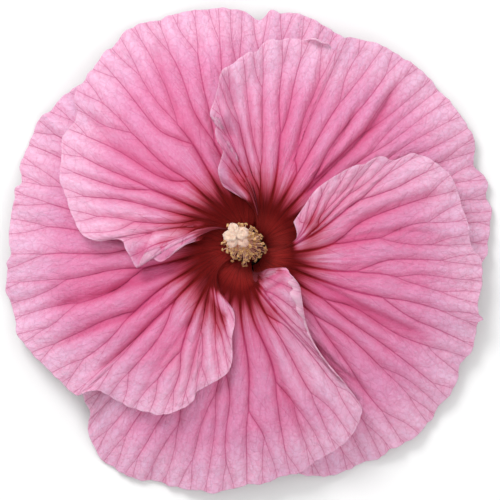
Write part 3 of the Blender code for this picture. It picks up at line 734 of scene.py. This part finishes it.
def petal_finish(name, colours, relief):
    """Living petal tissue: thin, soft and matt, drawn with darker forking veins.

    The eye sees a velvety surface, crimson in the throat, which bleeds out along the veins,
    and tissue that pales towards the margin with a fine crepe grain along the veins.
    """
    made, tree, shader = new_material(name)

    def stored(name):
        return node(tree, "Attribute", attribute_name=name).outputs

    def split(vector):
        return node(tree, "SeparateXYZ", {0: vector}).outputs

    def maths(operation, a, b=0.0, c=0.0):
        return node(tree, "Math", {0: a, 1: b, 2: c}, operation=operation).outputs[0]

    def ramp(value, low, high, start=0.0, end=1.0, smooth=True):
        kind = "SMOOTHSTEP" if smooth else "LINEAR"
        return node(tree, "MapRange", {0: value, 1: low, 2: high, 3: start, 4: end},
                    interpolation_type=kind).outputs[0]

    def over(colour, share, paint):
        """Lays one of the petal's colours over another colour."""
        return node(tree, "Mix", {0: share, 6: colour, 7: linear(colours[paint])},
                    data_type="RGBA").outputs[2]

    uv = split(node(tree, "UVMap", uv_map="Shares").outputs["UV"])
    sides = stored("vein_sides")
    powers = stored("vein_strengths")
    flap_shade, crease_shade, _ = split(stored("tints")["Vector"])
    # These three are in millimetres, and so are their limits in the ramps below.
    reach, edge, to_vein = split(stored("place")["Vector"])

    # The line of whichever of the nearest veins is strongest here.
    line = 0.0
    near = [*split(sides["Vector"]), sides["Alpha"]]
    strong = [*split(powers["Vector"]), powers["Alpha"]]
    for distance, strength in zip(near, strong):
        profile = ramp(maths("ABSOLUTE", distance), 0.15, 1.25, 1.0, 0.0)
        line = maths("MAXIMUM", line, maths("MULTIPLY", profile, strength))

    def stretched(across_count, along_count, detail, twist=0.0):
        """Noise whose grains are drawn out along the petal, counted across and along it."""
        vector = node(tree, "CombineXYZ", {0: maths("MULTIPLY", uv[0], across_count),
                                           1: maths("MULTIPLY", uv[1], along_count)})
        return node(tree, "TexNoise", {"Vector": vector.outputs[0], "Scale": 1.0, "Detail": detail,
                                       "Roughness": 0.65, "Distortion": twist}).outputs[0]

    grain = stretched(210.0, 36.0, 5.0, 0.6)
    streak = stretched(62.0, 3.2, 3.0)
    # Blotches are about 17 mm across, and the crepe's crinkles about 1 mm.
    skin = node(tree, "TexCoord").outputs["Object"]
    blotch = node(tree, "TexNoise", {"Vector": skin, "Scale": 60.0, "Detail": 4.0}).outputs[0]
    crepe = node(tree, "TexNoise", {"Vector": skin, "Scale": 900.0, "Detail": 3.0,
                                    "Distortion": 0.8}).outputs[0]
    # The net of the smallest veins, which closes between the twigs.
    net_place = node(tree, "CombineXYZ", {
        0: maths("ADD", maths("MULTIPLY", uv[0], 90.0), maths("MULTIPLY", grain, 0.9)),
        1: maths("MULTIPLY", uv[1], 30.0)})
    net = node(tree, "TexVoronoi", {"Vector": net_place.outputs[0], "Scale": 1.0},
               feature="DISTANCE_TO_EDGE").outputs["Distance"]
    net_line = maths("MULTIPLY", ramp(net, 0.0, 0.12, 1.0, 0.0), ramp(reach, 40.0, 80.0))

    # Veins are strong and dark by the eye, and fainter at the margin.
    strength = ramp(reach, 30.0, 95.0, 0.85, 0.62, False)
    flush = maths("MULTIPLY", ramp(to_vein, 0.0, 3.5, 1.0, 0.0), ramp(reach, 28.0, 90.0, 0.6, 0.25))
    near_eye = ramp(reach, 30.0, 62.0, 1.0, 0.0)

    tissue = node(tree, "ValToRGB", {0: ramp(reach, 26.0, 100.0, smooth=False)})
    stops = tissue.color_ramp.elements
    stops[0].color = linear(colours["inner"])
    stops[1].color = linear(colours["outer"])
    stops.new(0.25).color = linear(colours["middle"])
    colour = over(tissue.outputs[0], ramp(edge, 0.0, 26.0, 1.0, 0.0), "margin")
    colour = over(colour, ramp(blotch, 0.35, 0.7, 0.0, 0.35), "lilac")
    # Painted shade: standing flaps are painted mauve, for their side turned from the light.
    colour = over(colour, maths("MULTIPLY", flap_shade, 0.6), "flap_shade")
    colour = over(colour, ramp(grain, 0.35, 0.75, 0.0, 0.30), "flush")
    colour = over(colour, maths("MULTIPLY", near_eye, ramp(streak, 0.42, 0.7, 0.0, 0.7)), "flush")
    colour = over(colour, ramp(crepe, 0.45, 0.8, 0.0, 0.22), "margin")
    colour = over(colour, flush, "flush")
    # Painted shade in the creases: their valleys are painted a deeper pink, for the saturated shade
    # that light passing through the thin tissue gives there.
    colour = over(colour, maths("MULTIPLY", crease_shade, 0.6), "fold")
    colour = over(colour, maths("MULTIPLY", net_line, 0.14), "vein")
    colour = over(colour, maths("MULTIPLY", line, strength), "vein")
    # A thin pale line along the margin: the thinner edge tissue, with a painted highlight for the light the
    # edge catches.
    colour = over(colour, ramp(edge, 0.1, 0.8, 0.25, 0.0), "rim")

    # The eye bleeds out along the veins. Deep in the throat the red is painted brighter: painted light
    # for the light that reaches down there.
    bleed = maths("ADD", maths("MULTIPLY", line, 5.0), maths("MULTIPLY", flush, 6.0))
    bleed = maths("ADD", bleed, maths("MULTIPLY", streak, 7.0))
    eye_reach = maths("SUBTRACT", reach, bleed)
    colour = over(colour, ramp(eye_reach, 17.0, 33.0, 0.9, 0.0), "crimson")
    colour = over(colour, ramp(eye_reach, 13.0, 23.0, 1.0, 0.0), "eye")
    # Painted light: the throat's red is brighter deep down, for light reaching into it.
    colour = over(colour, ramp(reach, 8.0, 19.0, 0.85, 0.0), "throat")
    fibre = ramp(stretched(70.0, 4.0, 4.0), 0.45, 0.66)
    fibre = maths("MULTIPLY", fibre, ramp(reach, 18.0, 30.0, 0.55, 0.0))
    colour = over(colour, fibre, "fibre")
    tree.links.new(colour, shader.inputs["Base Color"])

    height = maths("MULTIPLY", grain, 1.2)
    wrinkle = stretched(95.0, 15.0, 4.0, 1.2)
    groove = maths("MULTIPLY", near_eye, streak)
    for pattern, size in ((line, -0.8), (crepe, 1.3), (wrinkle, 3.0), (groove, -2.2), (net_line, -0.3)):
        height = maths("MULTIPLY_ADD", pattern, size, height)
    bump = node(tree, "Bump", {"Height": height, "Strength": relief, "Distance": 0.0005})
    tree.links.new(bump.outputs[0], shader.inputs["Normal"])
    shader.inputs["Roughness"].default_value = 0.65
    shader.inputs["Specular IOR Level"].default_value = 0.10
    shader.inputs["Sheen Weight"].default_value = 0.02
    shader.inputs["Sheen Roughness"].default_value = 0.5
    shader.inputs["Subsurface Weight"].default_value = 0.08
    shader.inputs["Subsurface Radius"].default_value = (1.0, 0.35, 0.55)
    shader.inputs["Subsurface Scale"].default_value = 0.0008
    return made


# The flap and fold colours are painted shade, rim is partly a painted highlight, and throat is partly
# painted light.
FACE_COLOURS = {
    "inner": "#da6694", "middle": "#e183ae", "outer": "#e699c2", "margin": "#f1c5e1",
    "lilac": "#dba8ce", "flap_shade": "#b9709a", "fold": "#cc3a74", "flush": "#d65886",
    "vein": "#ba3470", "rim": "#f6c6de", "crimson": "#ad1e32", "eye": "#6c0708",
    "throat": "#cc3834", "fibre": "#3f0406",
}
UNDERSIDE_COLOURS = {
    "inner": "#dc94ae", "middle": "#e09cba", "outer": "#e4a8c6", "margin": "#ecbcd4",
    "lilac": "#e4b8d0", "flap_shade": "#cf9ab4", "fold": "#cc7a9c", "flush": "#d485a8",
    "vein": "#c06590", "rim": "#f3d3e0", "crimson": "#b84a64", "eye": "#9a3a4a",
    "throat": "#9c4a50", "fibre": "#8a3040",
}


class PetalSettings(bpy.types.PropertyGroup):
    thickness: FloatProperty(
        name="Thickness", description="Thickness of a petal", default=0.00045, min=0.0002,
        max=0.001, subtype="DISTANCE", unit="LENGTH", precision=5)
    pleat_depth: FloatProperty(
        name="Pleat depth", description="Height of the ridges between veins, in millimetres",
        default=1.7, min=0, max=3)
    pleat_width: FloatProperty(
        name="Pleat valley", description="Half the width of a valley at a vein, in millimetres",
        default=1.45, min=0.5, max=8)
    ruffle: FloatProperty(
        name="Ruffle", description="Height of the waves at the margin, in millimetres",
        default=1.3, min=0, max=4)
    crumple: FloatProperty(
        name="Crumple", description="Height of the small swellings between veins, in millimetres",
        default=0.6, min=0, max=2)
    frill: FloatProperty(
        name="Frill", description="Size of the margin's small waves, in millimetres",
        default=0.45, min=0, max=3)
    main_veins: IntProperty(
        name="Main veins", description="Veins that leave the claw", default=13, min=5, max=20)
    vein_spacing: FloatProperty(
        name="Vein spacing", description="Where the veins are this far apart they fork, in millimetres",
        default=10.0, min=4, max=20)
    across_count: IntProperty(
        name="Columns", description="Faces across a petal", default=300, min=40, max=330)
    along_count: IntProperty(
        name="Rows", description="Faces along a petal", default=140, min=20, max=150)


class HIBISCUS_OT_petals(bpy.types.Operator):
    """Make the five petals, which overlap like a pinwheel"""

    bl_idname = "hibiscus.petals"
    bl_label = "Petals"
    bl_options = {"REGISTER", "UNDO"}

    def execute(self, context):
        sizes = context.scene.hibiscus_petals
        finishes = (petal_finish("Petal face", FACE_COLOURS, 0.62),
                    petal_finish("Petal underside", UNDERSIDE_COLOURS, 0.6))
        for petal in PETALS:
            make_petal(petal, sizes, finishes)
        return {"FINISHED"}


# The column, the pistil and the stamens.


def turned(profile, sides, closed=False):
    """A bmesh of revolution about Z, from (radius, height) points that run upwards."""
    solid = bmesh.new()
    points = [solid.verts.new((radius, 0, height)) for radius, height in profile]
    edges = [solid.edges.new(pair) for pair in zip(points, points[1:])]
    if closed:
        edges.append(solid.edges.new((points[-1], points[0])))
    bmesh.ops.spin(solid, geom=points + edges, cent=(0, 0, 0), axis=(0, 0, 1),
                   angle=math.tau, steps=sides, use_merge=True)
    rims = [edge for edge in solid.edges if edge.is_boundary]
    bmesh.ops.holes_fill(solid, edges=rims, sides=sides)
    bmesh.ops.recalc_face_normals(solid, faces=solid.faces)
    return solid


def lean(height):
    """How far the column has moved sideways at a height."""
    share = max(0.0, (height - COLUMN_BASE) / (COLUMN_TOP - COLUMN_BASE)) ** 1.3
    return COLUMN_LEAN * share


def lean_over(solid):
    """Leans an upright solid over as the column leans."""
    for vertex in solid.verts:
        vertex.co += lean(vertex.co.z)


def plant_finish(name, low, high, span, speck=None, roughness=0.5, relief=0.3, grain=600.0,
                 downy=0.0, flesh=0.0):
    """Waxy plant tissue that changes colour from low to high over its height span in mm.

    The eye sees a soft, slightly uneven skin with a fine grain, and down where it has any.
    grain is how many specks there are in a metre, so 600 makes them 1.7 mm across.
    """
    made, tree, shader = new_material(name)
    place = node(tree, "TexCoord").outputs["Object"]
    height = node(tree, "SeparateXYZ", {0: place}).outputs[2]
    share = node(tree, "MapRange", {0: height, 1: (span[0] + AXIS.z) * MM, 2: (span[1] + AXIS.z) * MM})
    blend = node(tree, "Mix", {0: share.outputs[0], 6: linear(low), 7: linear(high)}, data_type="RGBA")
    mottle = node(tree, "TexNoise", {"Vector": place, "Scale": grain, "Detail": 4.0})
    amount = node(tree, "MapRange", {0: mottle.outputs[0], 1: 0.4, 2: 0.7, 3: 0.0, 4: 0.45})
    tint = node(tree, "Mix", {0: amount.outputs[0], 6: blend.outputs[2], 7: linear(speck or high)},
                data_type="RGBA")
    bump = node(tree, "Bump", {"Height": mottle.outputs[0], "Strength": relief, "Distance": 0.0003})
    tree.links.new(tint.outputs[2], shader.inputs["Base Color"])
    tree.links.new(bump.outputs[0], shader.inputs["Normal"])
    shader.inputs["Roughness"].default_value = roughness
    shader.inputs["Sheen Weight"].default_value = downy
    shader.inputs["Subsurface Weight"].default_value = flesh
    shader.inputs["Subsurface Radius"].default_value = (1.0, 0.6, 0.4)
    shader.inputs["Subsurface Scale"].default_value = 0.001
    return made


def add_copy(target, shape, matrix, slot=0):
    """Adds a moved copy of one bmesh to another."""
    corners = [target.verts.new(matrix @ vertex.co) for vertex in shape.verts]
    shape.verts.index_update()
    for face in shape.faces:
        made = target.faces.new([corners[vertex.index] for vertex in face.verts])
        made.material_index = slot


def facing(direction, spin=0.0):
    """The turn that points Z along a direction."""
    return direction.to_track_quat("Z", "Y") @ Quaternion((0, 0, 1), spin)


def bent_path(start, middle, end):
    """Five points on the smooth bend from start to end that middle pulls towards itself."""
    return [start.lerp(middle, t).lerp(middle.lerp(end, t), t) for t in (0, 0.25, 0.5, 0.75, 1)]


def thin_stalk(target, path, radii, sides, slot=0):
    """Adds a tube along path, a list of Vectors, with a radius for each, closed at both ends."""
    stands = []
    for i, (place, radius) in enumerate(zip(path, radii)):
        tangent = (path[min(i + 1, len(path) - 1)] - path[max(i - 1, 0)]).normalized()
        turn = facing(tangent, math.pi / 2).to_matrix().to_4x4()
        stands.append(Matrix.Translation(place) @ turn @ Matrix.Scale(radius, 4))
    tube = bmesh.new()
    bmesh.ops.create_circle(tube, cap_ends=True, segments=sides, radius=1, matrix=stands[0])
    foot = end = tube.faces[:]
    for low, high in zip(stands, stands[1:]):
        added = bmesh.ops.extrude_face_region(tube, geom=end)["geom"]
        if end != foot:
            bmesh.ops.delete(tube, geom=end, context="FACES_ONLY")
        end = [piece for piece in added if isinstance(piece, bmesh.types.BMFace)]
        ring = [piece for piece in added if isinstance(piece, bmesh.types.BMVert)]
        bmesh.ops.transform(tube, matrix=high @ low.inverted(), verts=ring)
    bmesh.ops.recalc_face_normals(tube, faces=tube.faces)
    add_copy(target, tube, Matrix(), slot)
    tube.free()


class CentreSettings(bpy.types.PropertyGroup):
    stamen_count: IntProperty(
        name="Stamens", description="Stamens on the column", default=240, min=20, max=300)
    anther_length: FloatProperty(
        name="Anther", description="Length of an anther", default=0.00155, min=0.0005, max=0.004,
        subtype="DISTANCE", unit="LENGTH", precision=4)
    papillae: IntProperty(
        name="Papillae", description="Velvet hairs on each stigma pad", default=260, min=0, max=600)
    grains: IntProperty(
        name="Pollen grains", description="Pollen grains on each anther", default=14, min=0, max=40)


class HIBISCUS_OT_column(bpy.types.Operator):
    """Make the tube that the stamens grow from"""

    bl_idname = "hibiscus.stamen_column"
    bl_label = "Stamen column"
    bl_options = {"REGISTER", "UNDO"}

    def execute(self, context):
        outer = smooth_curve(COLUMN_PROFILE, 6)
        inner = outer[::-1] - (COLUMN_WALL, 0)
        tube = turned(np.vstack([outer, inner]), 32, closed=True)
        lean_over(tube)
        # Without a seed these bumps would follow the clock.
        noise.seed_set(1)
        for vertex in tube.verts:
            vertex.co += noise.noise_vector(vertex.co * 0.8) * 0.12
        finish = plant_finish("Column skin", "#7d1420", "#e9b9a4", (16, 38), "#c4606a", 0.45, 0.25, 700)
        declare(finish_piece("stamen_column", tube, [finish]), ["stamen_column"])
        return {"FINISHED"}


class HIBISCUS_OT_pistil(bpy.types.Operator):
    """Make the ovary, and the style that runs up inside the column"""

    bl_idname = "hibiscus.pistil"
    bl_label = "Pistil"
    bl_options = {"REGISTER", "UNDO"}

    def execute(self, context):
        pistil = turned(smooth_curve(PISTIL_PROFILE, 5), 30)
        for vertex in pistil.verts:
            ribs = 0.1 * math.cos(PETAL_COUNT * math.atan2(vertex.co.y, vertex.co.x))
            vertex.co.xy *= 1 + ribs * max(0, 1 - abs(vertex.co.z - 10) / 3)
        lean_over(pistil)
        finish = plant_finish("Pistil skin", "#cfd6a0", "#f0cdbd", (9, 16), "#f6dccb", 0.4, 0.2, 900,
                              flesh=0.2)
        declare(finish_piece("pistil", pistil, [finish]), ["pistil"])
        return {"FINISHED"}


def kidney(length):
    """An anther: a bent, two-lobed bean that is length long."""
    bean = bmesh.new()
    bmesh.ops.create_uvsphere(bean, u_segments=10, v_segments=8, radius=0.5)
    for vertex in bean.verts:
        x, y, z = vertex.co
        waist = 1 - 0.30 * math.exp(-(x / 0.12) ** 2)
        x, y, z = x, y * 0.62 * waist, z * 0.46 * waist
        vertex.co = Vector((x, y, z + 0.9 * (0.25 - x * x) - 0.15)) * length
    return bean


class HIBISCUS_OT_stamens(bpy.types.Operator):
    """Make the filaments, their anthers and the pollen on them"""

    bl_idname = "hibiscus.stamens"
    bl_label = "Stamens"
    bl_options = {"REGISTER", "UNDO"}

    def execute(self, context):
        settings = context.scene.hibiscus_centre
        draw = random.Random(7)
        filaments = bmesh.new()
        anthers = bmesh.new()
        bean = kidney(settings.anther_length / MM)
        grain = bmesh.new()
        bmesh.ops.create_icosphere(grain, subdivisions=1, radius=POLLEN_RADIUS)
        for number in range(settings.stamen_count):
            share = number / (settings.stamen_count - 1)
            height = STAMEN_LOW + STAMEN_RUN * share + draw.uniform(-0.4, 0.4)
            outward = polar(1, number * GOLDEN_ANGLE + draw.uniform(-12, 12))
            reach = (FILAMENT_LENGTH - FILAMENT_SHORTER * share**1.3) * draw.uniform(0.25, 1.12)
            rise = 0.35 + 0.35 * share + draw.uniform(-0.25, 0.3)
            foot = lean(height) + Vector((0, 0, height)) + outward * FILAMENT_FOOT
            bend = Vector((draw.uniform(-1, 1), draw.uniform(-1, 1), draw.uniform(-0.6, 0.6))) * 1.2
            tip = foot + (outward + Vector((0, 0, rise))).normalized() * reach + bend
            middle = foot.lerp(tip, 0.5) + Vector((0, 0, -0.12 * reach)) + bend * 0.3
            thin_stalk(filaments, bent_path(foot, middle, tip), FILAMENT_RADII, 6)
            aim = facing((tip - middle).normalized(), draw.uniform(0, math.tau))
            tilt = aim @ Quaternion((1, 0, 0), draw.uniform(-0.7, 0.7))
            size = draw.uniform(0.8, 1.15)
            stand = Matrix.Translation(tip) @ tilt.to_matrix().to_4x4() @ Matrix.Scale(size, 4)
            add_copy(anthers, bean, stand)
            for _ in range(settings.grains):
                corner = draw.choice(bean.verts[:]).co
                spot = stand @ (corner * draw.uniform(0.98, 1.12))
                growth = Matrix.Scale(draw.uniform(0.7, 1.2), 4)
                add_copy(anthers, grain, Matrix.Translation(spot) @ growth, 1)
        bean.free()
        grain.free()
        silk = plant_finish("Filament", "#c0606a", "#ebb9a0", (18, 34), "#f0c8ae", 0.4, 0.1, 900, flesh=0.2)
        husk = plant_finish("Anther husk", "#b4743f", "#dba868", (18, 42), "#a5653a", 0.75, 0.5, 1500,
                            downy=0.2)
        pollen = plant_finish("Pollen", "#d8a763", "#f3cf96", (18, 42), "#f8e0b0", 0.8, 0.4, 2600,
                              downy=0.3)
        nodes = [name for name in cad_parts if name.startswith("stamen_") and name != "stamen_column"]
        declare(finish_piece("filaments", filaments, [silk]), nodes)
        declare(finish_piece("anthers", anthers, [husk, pollen]), nodes)
        return {"FINISHED"}


class HIBISCUS_OT_stigmas(bpy.types.Operator):
    """Make the five velvety pads at the tip of the style"""

    bl_idname = "hibiscus.stigmas"
    bl_label = "Stigmas"
    bl_options = {"REGISTER", "UNDO"}

    def execute(self, context):
        settings = context.scene.hibiscus_centre
        draw = random.Random(11)
        finish = plant_finish("Stigma velvet", "#d49a8c", "#f2d3bd", (43.0, 45.8), "#cf907e", 0.7, 0.5,
                              1800, downy=0.5, flesh=0.3)
        arm_finish = plant_finish("Style branch", "#d9988a", "#e7b3a0", (42, 46), "#d98f86", 0.45, 0.2,
                                  900, flesh=0.3)
        tip = lean(STYLE_TOP) + Vector((0, 0, STYLE_TOP))
        for number in range(PETAL_COUNT):
            outward = polar(1, STIGMA_BEARING + number * PETAL_PITCH + draw.uniform(-13, 13))
            head = tip + outward * draw.uniform(2.3, 3.2) + Vector((0, 0, 0.9 + draw.uniform(-0.7, 0.7)))
            size = draw.uniform(0.82, 1.12)
            pad = bmesh.new()
            bmesh.ops.create_icosphere(pad, subdivisions=4, radius=1)
            turn = Quaternion((0, 0, 1), math.atan2(outward.y, outward.x))
            for vertex in pad.verts:
                swell = 1 + 0.2 * noise.noise(vertex.co * 1.9 + Vector((number * 3.1, 0, 0)))
                swell += 0.09 * noise.noise(vertex.co * 6.0)
                # A pad is longest along its branch, and a dent runs down its middle.
                dent = 0.5 * math.exp(-(vertex.co.y / 0.3) ** 2) * max(0, vertex.co.z)
                shape = (vertex.co * STIGMA_HALVES - Vector((0, 0, dent))) * swell * size
                shape.z -= 0.09 * shape.x * abs(shape.x)
                vertex.co = head + turn @ shape
            skin = list(pad.faces)
            hair = bmesh.new()
            bmesh.ops.create_cone(hair, segments=5, radius1=0.11, radius2=0.04, depth=0.42, cap_ends=True)
            for _ in range(settings.papillae):
                face = draw.choice(skin)
                splay = Vector((draw.gauss(0, 0.25), draw.gauss(0, 0.25), 0.2))
                aim = facing((face.normal + splay).normalized())
                spot = face.calc_center_median() + aim @ Vector((0, 0, 0.12))
                add_copy(pad, hair, Matrix.Translation(spot) @ aim.to_matrix().to_4x4())
            hair.free()
            start = tip + outward * 0.35 + Vector((0, 0, -0.6))
            middle = tip + outward * 1.6 + Vector((0, 0, 0.9))
            thin_stalk(pad, bent_path(start, middle, head), BRANCH_RADII, 10, slot=1)
            name = f"stigma_{number + 1}"
            declare(finish_piece(name, pad, [finish, arm_finish]), [name])
        return {"FINISHED"}


# The green parts.


class HIBISCUS_OT_calyx(bpy.types.Operator):
    """Make the cup of five fused sepals"""

    bl_idname = "hibiscus.calyx"
    bl_label = "Calyx"
    bl_options = {"REGISTER", "UNDO"}

    def execute(self, context):
        rows, sides = 44, 240
        curve = smooth_curve(CALYX_PROFILE, 12)
        cup = turned([(1, row / rows) for row in range(rows + 1)], sides)
        caps = [face for face in cup.faces if len(face.verts) > 4]
        bmesh.ops.delete(cup, geom=caps, context="FACES_ONLY")
        for vertex in cup.verts:
            bearing = math.degrees(math.atan2(vertex.co.y, vertex.co.x))
            turn = bearing - CALYX_BEARING
            off_lobe = abs((turn + HALF_LOBE) % PETAL_PITCH - HALF_LOBE) / HALF_LOBE
            share = vertex.co.z * (CALYX_SINUS + (1 - CALYX_SINUS) * (1 - off_lobe) ** 0.85)
            radius, height = along_curve(curve, np.array([share]))[0]
            ribs = 0.22 * math.cos(math.radians(15 * turn)) * share
            rib = 0.35 * math.exp(-(off_lobe / 0.09) ** 2) + ribs * (1 - off_lobe)
            place = polar(radius, bearing)
            wave = noise.noise(Vector((place.x, place.y, height)) * 0.25) * 0.6 * share
            vertex.co = Vector((place.x, place.y, height - rib * (0.3 + share) * 0.8 + wave * 0.4))
        finish = plant_finish("Sepal", "#8fae5c", "#7a9a4a", (5, 25), "#a9c078", 0.65, 0.6, 500, downy=0.5)
        # Painted shade: the inside of the cup is painted dark brown low down, for the shade deep in it.
        lining = plant_finish("Sepal lining", "#2a1712", "#7d8f52", (8, 20), "#3a2018", 0.7, 0.4, 500)
        piece = finish_piece("calyx", cup, [finish, lining])
        thicken(piece, CALYX_WALL * MM, offset=1, lining=1)
        declare(piece, ["calyx"])
        return {"FINISHED"}


class HIBISCUS_OT_bractlets(bpy.types.Operator):
    """Make the ring of narrow green leaves under the calyx"""

    bl_idname = "hibiscus.bractlets"
    bl_label = "Bractlets"
    bl_options = {"REGISTER", "UNDO"}

    def execute(self, context):
        finish = plant_finish("Bractlet skin", "#86a552", "#6c8f3e", (4, 21), "#9bb566", 0.6, 0.5, 600,
                              downy=0.45)
        curve = smooth_curve(BRACTLET_PROFILE, 8)
        draw = random.Random(3)
        for number in range(BRACTLET_COUNT):
            strip = bmesh.new()
            bmesh.ops.create_grid(strip, x_segments=12, y_segments=40, size=0.5)
            turn = Quaternion((0, 0, 1), math.tau * (number + 0.5) / BRACTLET_COUNT)
            sway = draw.uniform(-1, 1)
            for vertex in strip.verts:
                share = vertex.co.y + 0.5
                radius, height = along_curve(curve, np.array([share]))[0]
                width = 2.0 * (1 - share**3) * min(1, 0.6 + 2 * share) + 0.15
                side = 2 * vertex.co.x
                cupped = 0.075 * width * side * side + 0.12 * math.exp(-(side / 0.18) ** 2)
                drift = 0.5 * width * side + sway * share * share
                vertex.co = turn @ Vector((radius, drift, height + cupped))
            name = f"bractlet_{number + 1:02d}"
            piece = finish_piece(name, strip, [finish])
            thicken(piece, BRACTLET_WALL * MM)
            declare(piece, [name])
        return {"FINISHED"}


class HIBISCUS_OT_stalk(bpy.types.Operator):
    """Make the cut flower stalk"""

    bl_idname = "hibiscus.flower_stalk"
    bl_label = "Flower stalk"
    bl_options = {"REGISTER", "UNDO"}

    def execute(self, context):
        finish = plant_finish("Stalk skin", "#93a860", "#87a653", (0.6, 7), "#a8bd7a", 0.55, 0.5, 500,
                              downy=0.4)
        profile = smooth_curve([(0.2, STALK_CUT + 0.12), (1.6, STALK_CUT + 0.1), *STALK_PROFILE], 6)
        stalk = turned(profile, 48)
        for vertex in stalk.verts:
            bearing = math.atan2(vertex.co.y, vertex.co.x)
            vertex.co.xy *= 1 + 0.025 * math.cos(9 * bearing) + 0.02 * math.cos(4 * bearing + 1)
        declare(finish_piece("flower_stalk", stalk, [finish]), ["flower_stalk"])
        return {"FINISHED"}


# The stage, in metres.


VIEW_CENTRE = (0.0006, -0.0002)
VIEW_HEIGHT = 0.025
LIGHT_TARGET = (0, 0, 0.02)
KEY_PLACE = (-0.45, 0.75, 0.85)
KEY_SIZE = 0.55
FILL_PLACE = (0.7, -0.3, 0.9)
FILL_SIZE = 1.2
FLOOR_DROP = 0.0005


class StageSettings(bpy.types.PropertyGroup):
    camera_distance: FloatProperty(
        name="Camera distance", description="From the camera to the bloom", default=1.2,
        min=0.3, max=5, subtype="DISTANCE", unit="LENGTH")
    frame_width: FloatProperty(
        name="Frame width", description="Width of the view at the bloom", default=0.2029,
        min=0.05, max=1, subtype="DISTANCE", unit="LENGTH")
    key_power: FloatProperty(
        name="Key light", description="Power of the key light", default=7.4, min=0, max=100, unit="POWER")
    fill_power: FloatProperty(
        name="Fill light", description="Power of the fill light", default=1.5, min=0, max=100, unit="POWER")
    sky_strength: FloatProperty(
        name="Sky", description="Strength of the even light from all round", default=0.77, min=0, max=5)
    floor_colour: FloatVectorProperty(
        name="Floor", description="Colour of the floor", default=(0.95, 0.95, 0.95), size=3,
        min=0, max=1, subtype="COLOR")


def add_light(name, place, size, power):
    """A round, soft light that points at the bloom."""
    data = bpy.data.lights.new(name, "AREA")
    data.shape = "DISK"
    data.size = size
    data.energy = power
    light = bpy.data.objects.new(name, data)
    light.location = place
    light.rotation_euler = (Vector(LIGHT_TARGET) - Vector(place)).to_track_quat("-Z", "Y").to_euler()
    bpy.context.collection.objects.link(light)


class HIBISCUS_OT_stage(bpy.types.Operator):
    """Make the floor, the lights and the camera"""

    bl_idname = "hibiscus.stage"
    bl_label = "Stage"
    bl_options = {"REGISTER", "UNDO"}

    def execute(self, context):
        settings = context.scene.hibiscus_stage
        ground = bmesh.new()
        bmesh.ops.create_grid(ground, x_segments=1, y_segments=1, size=3)
        bmesh.ops.translate(ground, vec=(0, 0, -FLOOR_DROP), verts=ground.verts)
        mesh = bpy.data.meshes.new("floor")
        ground.to_mesh(mesh)
        ground.free()
        finish, _, shader = new_material("Matt white paper")
        shader.inputs["Base Color"].default_value = (*settings.floor_colour, 1)
        shader.inputs["Roughness"].default_value = 0.9
        mesh.materials.append(finish)
        floor = bpy.data.objects.new("floor", mesh)
        context.collection.objects.link(floor)

        add_light("Key light", KEY_PLACE, KEY_SIZE, settings.key_power)
        add_light("Fill light", FILL_PLACE, FILL_SIZE, settings.fill_power)
        world = bpy.data.worlds.new("Even sky")
        world.use_nodes = True
        sky = world.node_tree.nodes["Background"]
        sky.inputs[0].default_value = (1, 1, 1, 1)
        sky.inputs[1].default_value = settings.sky_strength
        context.scene.world = world
        context.scene.view_settings.view_transform = "Standard"

        data = bpy.data.cameras.new("Camera")
        data.sensor_width = 36
        data.lens = data.sensor_width * settings.camera_distance / settings.frame_width
        data.clip_start = 0.01
        data.clip_end = 20
        camera = bpy.data.objects.new("Camera", data)
        camera.location = (*VIEW_CENTRE, settings.camera_distance + VIEW_HEIGHT)
        context.collection.objects.link(camera)
        context.scene.camera = camera
        return {"FINISHED"}


class HIBISCUS_PT_panel(bpy.types.Panel):
    """The bloom's pieces in the 3D view's sidebar"""

    bl_idname = "HIBISCUS_PT_panel"
    bl_label = "Hibiscus Flower"
    bl_space_type = "VIEW_3D"
    bl_region_type = "UI"
    bl_category = "Hibiscus"

    def draw(self, context):
        for maker in MAKERS:
            self.layout.operator(maker.bl_idname)


MAKERS = (
    HIBISCUS_OT_petals, HIBISCUS_OT_column, HIBISCUS_OT_pistil, HIBISCUS_OT_stamens,
    HIBISCUS_OT_stigmas, HIBISCUS_OT_calyx, HIBISCUS_OT_bractlets, HIBISCUS_OT_stalk,
    HIBISCUS_OT_stage,
)
SETTINGS = {
    "hibiscus_petals": PetalSettings, "hibiscus_centre": CentreSettings, "hibiscus_stage": StageSettings,
}


def register():
    for kind in (*SETTINGS.values(), *MAKERS, HIBISCUS_PT_panel):
        bpy.utils.register_class(kind)
    for name, kind in SETTINGS.items():
        setattr(bpy.types.Scene, name, PointerProperty(type=kind))


def unregister():
    for name in SETTINGS:
        delattr(bpy.types.Scene, name)
    for kind in (HIBISCUS_PT_panel, *reversed(MAKERS), *SETTINGS.values()):
        bpy.utils.unregister_class(kind)


def main():
    register()
    bpy.ops.hibiscus.petals()
    bpy.ops.hibiscus.stamen_column()
    bpy.ops.hibiscus.pistil()
    bpy.ops.hibiscus.stamens()
    bpy.ops.hibiscus.stigmas()
    bpy.ops.hibiscus.calyx()
    bpy.ops.hibiscus.bractlets()
    bpy.ops.hibiscus.flower_stalk()
    bpy.ops.hibiscus.stage()


if __name__ == "__main__":
    main()
